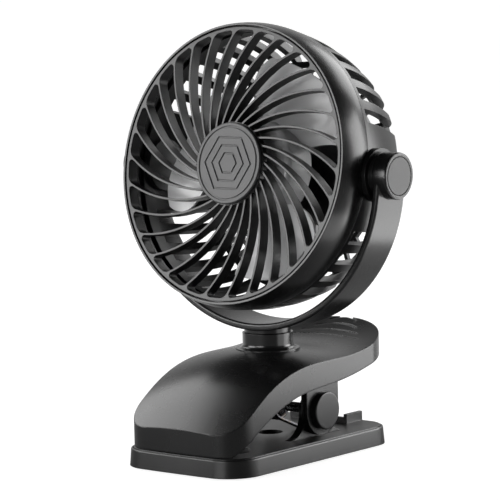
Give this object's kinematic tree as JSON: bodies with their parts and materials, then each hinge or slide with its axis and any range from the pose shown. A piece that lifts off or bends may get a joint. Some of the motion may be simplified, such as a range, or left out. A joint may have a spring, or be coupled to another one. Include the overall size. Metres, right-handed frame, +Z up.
{
  "type": "clip fan",
  "caption": "Small round fan with a swirl grille, tilting in a U-shaped yoke that swivels on top of a spring clip; the clip's flat base also stands on a table.",
  "frame": {"origin": "on the floor plane, in the object's middle plane, half way along the clip's length", "axes": "+Z up, the fan's face and the clip's jaw point to -Y, the tilt axis runs along X, +X is the fan's left side"},
  "size_m": [0.1642, 0.135, 0.2109],
  "materials": {
    "base_body": "satin",
    "base_top": "satin",
    "jaw_shell": "satin",
    "collar_black": "satin",
    "yoke_black": "satin",
    "cap_black": "satin",
    "ring_black": "satin",
    "guard_black": "matte",
    "grille_black": "satin",
    "badge_grey": "satin",
    "blade_black": "semi-gloss",
    "cover_black": "satin",
    "button_black": "satin",
    "rubber_black": "matte",
    "spring_steel": "bright",
    "pin_steel": "ground",
    "screw_steel": "blackened",
    "washer_nylon": "natural",
    "motor_steel": "plated",
    "bush_bronze": "sintered",
    "board_green": "gloss",
    "cell_wrap": "foil",
    "port_steel": "plated",
    "lens_clear": "gloss"
  },
  "bodies": {
    "base": {"base_tray": "base_body", "base_plate": "base_top", "hinge_ear_left": "base_top", "hinge_ear_right": "base_top", "base_screws": "screw_steel", "rubber_feet": "rubber_black", "lower_jaw_pad": "rubber_black", "clamp_spring": "spring_steel"},
    "upper_jaw": {"clip_shell": "jaw_shell", "swivel_collar": "collar_black", "hinge_pin": "pin_steel", "hinge_cap_left": "cap_black", "hinge_cap_right": "cap_black", "upper_jaw_pad": "rubber_black"},
    "yoke_arm": {"yoke": "yoke_black", "pivot_cap_left": "cap_black", "pivot_cap_right": "cap_black", "swivel_washer": "washer_nylon", "swivel_screw": "screw_steel"},
    "fan_head": {"front_grille": "grille_black", "grille_badge": "badge_grey", "head_ring": "ring_black", "rear_guard": "guard_black", "motor_can": "motor_steel", "motor_front_bush": "bush_bronze", "motor_rear_bush": "bush_bronze", "circuit_board": "board_green", "battery_cell": "cell_wrap", "rear_cover": "cover_black", "charge_port": "port_steel", "status_lens": "lens_clear", "rear_screws": "screw_steel", "pivot_screw_left": "screw_steel", "pivot_screw_right": "screw_steel", "pivot_washer_left": "washer_nylon", "pivot_washer_right": "washer_nylon"},
    "rotor": {"impeller": "blade_black", "motor_shaft": "pin_steel"},
    "button": {"power_button": "button_black"}
  },
  "joints": [
    {"name": "clip_hinge", "type": "hinge", "parent": "base", "child": "upper_jaw", "pos_m": [0, 0.0092, 0.0225], "axis": [-1, 0, 0], "range_deg": [0, 30], "stiffness_Nm_per_rad": 0.76, "springref_deg": -60.16, "deforming": ["clamp_spring"]},
    {"name": "swivel", "type": "hinge", "parent": "upper_jaw", "child": "yoke_arm", "pos_m": [0, 0.0042, 0.055], "axis": [0, 0, 1], "continuous": true},
    {"name": "head_tilt", "type": "hinge", "parent": "yoke_arm", "child": "fan_head", "pos_m": [0, 0.0042, 0.1391], "axis": [1, 0, 0], "continuous": true},
    {"name": "impeller_spin", "type": "hinge", "parent": "fan_head", "child": "rotor", "pos_m": [0, 0.0042, 0.1391], "axis": [0, -0.981, 0.1942], "continuous": true},
    {"name": "button_press", "type": "slide", "parent": "fan_head", "child": "button", "axis": [0, -0.981, 0.1942], "range_m": [0, 0.0006], "stiffness_N_per_m": 1500, "springref_m": -0.0002}
  ]
}
